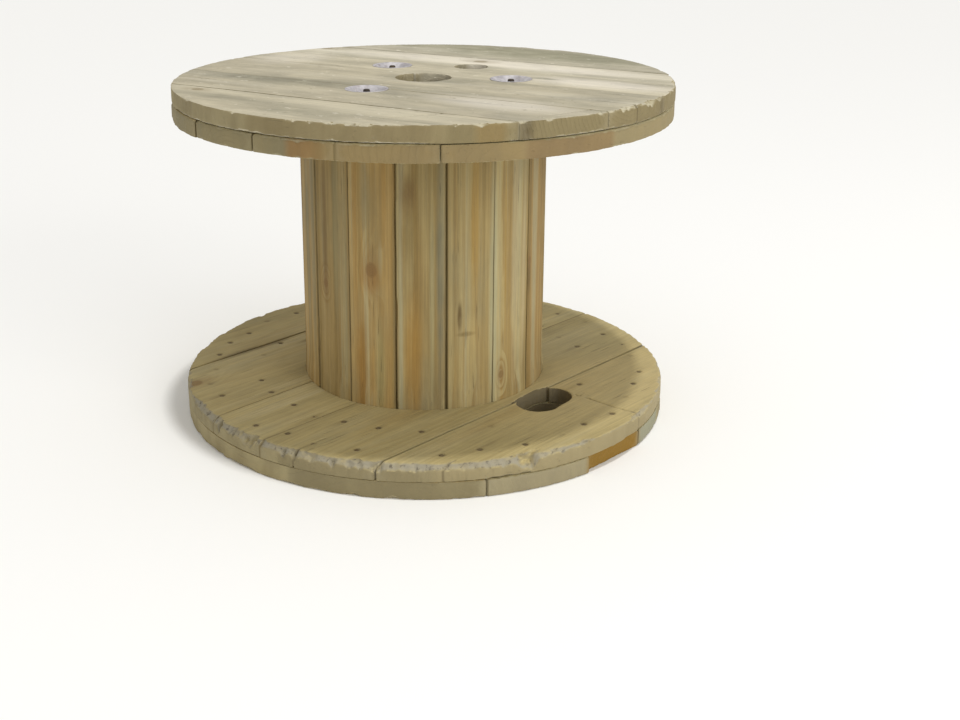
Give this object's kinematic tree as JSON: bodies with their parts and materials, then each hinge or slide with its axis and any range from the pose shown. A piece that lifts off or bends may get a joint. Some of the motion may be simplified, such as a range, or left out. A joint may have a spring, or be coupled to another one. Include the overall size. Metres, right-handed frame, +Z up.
{
  "type": "wooden cable drum",
  "caption": "Weathered wooden drum for winding cable: crossed-ply board flanges on a barrel of staves, clamped by tie rods in cup washers.",
  "frame": {"origin": "centre of the lower flange's outer face, where the drum stands", "axes": "+Z up along the barrel, through the spindle hole; the cable start hole lies towards +X and -Y"},
  "size_m": [0.71, 0.71, 0.484],
  "materials": {
    "weathered_face_boards": "sun-bleached sawn softwood, grey-green streaks",
    "flange_boards": "sawn softwood, olive tan, rough end grain",
    "barrel_staves": "sawn softwood, orange brown with knots",
    "zinc_washers": "bright zinc plate, pressed",
    "zinc_nuts": "bright zinc plate",
    "dark_steel": "dark weathered steel"
  },
  "bodies": {
    "root": {"top_outer_board_1": "weathered_face_boards", "top_outer_board_2": "weathered_face_boards", "top_outer_board_3": "weathered_face_boards", "top_outer_board_4": "weathered_face_boards", "top_outer_board_5": "weathered_face_boards", "top_outer_board_6": "weathered_face_boards", "top_inner_board_1": "flange_boards", "top_inner_board_2": "flange_boards", "top_inner_board_3": "flange_boards", "top_inner_board_4": "flange_boards", "top_inner_board_5": "flange_boards", "top_inner_board_6": "flange_boards", "bottom_inner_board_1": "flange_boards", "bottom_inner_board_2": "flange_boards", "bottom_inner_board_3": "flange_boards", "bottom_inner_board_4": "flange_boards", "bottom_inner_board_5": "flange_boards", "bottom_outer_board_1": "flange_boards", "bottom_outer_board_2": "flange_boards", "bottom_outer_board_3": "flange_boards", "bottom_outer_board_4": "flange_boards", "bottom_outer_board_5": "flange_boards", "stave_01": "barrel_staves", "stave_02": "barrel_staves", "stave_03": "barrel_staves", "stave_04": "barrel_staves", "stave_05": "barrel_staves", "stave_06": "barrel_staves", "stave_07": "barrel_staves", "stave_08": "barrel_staves", "stave_09": "barrel_staves", "stave_10": "barrel_staves", "stave_11": "barrel_staves", "stave_12": "barrel_staves", "stave_13": "barrel_staves", "stave_14": "barrel_staves", "stave_15": "barrel_staves", "stave_16": "barrel_staves", "tie_rod_1": "dark_steel", "tie_rod_2": "dark_steel", "tie_rod_3": "dark_steel", "top_cup_washer_1": "zinc_washers", "top_cup_washer_2": "zinc_washers", "top_cup_washer_3": "zinc_washers", "bottom_cup_washer_1": "zinc_washers", "bottom_cup_washer_2": "zinc_washers", "bottom_cup_washer_3": "zinc_washers", "top_nut_1": "zinc_nuts", "top_nut_2": "zinc_nuts", "top_nut_3": "zinc_nuts", "bottom_nut_1": "zinc_nuts", "bottom_nut_2": "zinc_nuts", "bottom_nut_3": "zinc_nuts", "top_rim_nails": "dark_steel", "top_barrel_nails": "dark_steel", "bottom_rim_nails": "dark_steel", "bottom_barrel_nails": "dark_steel"}
  },
  "joints": []
}
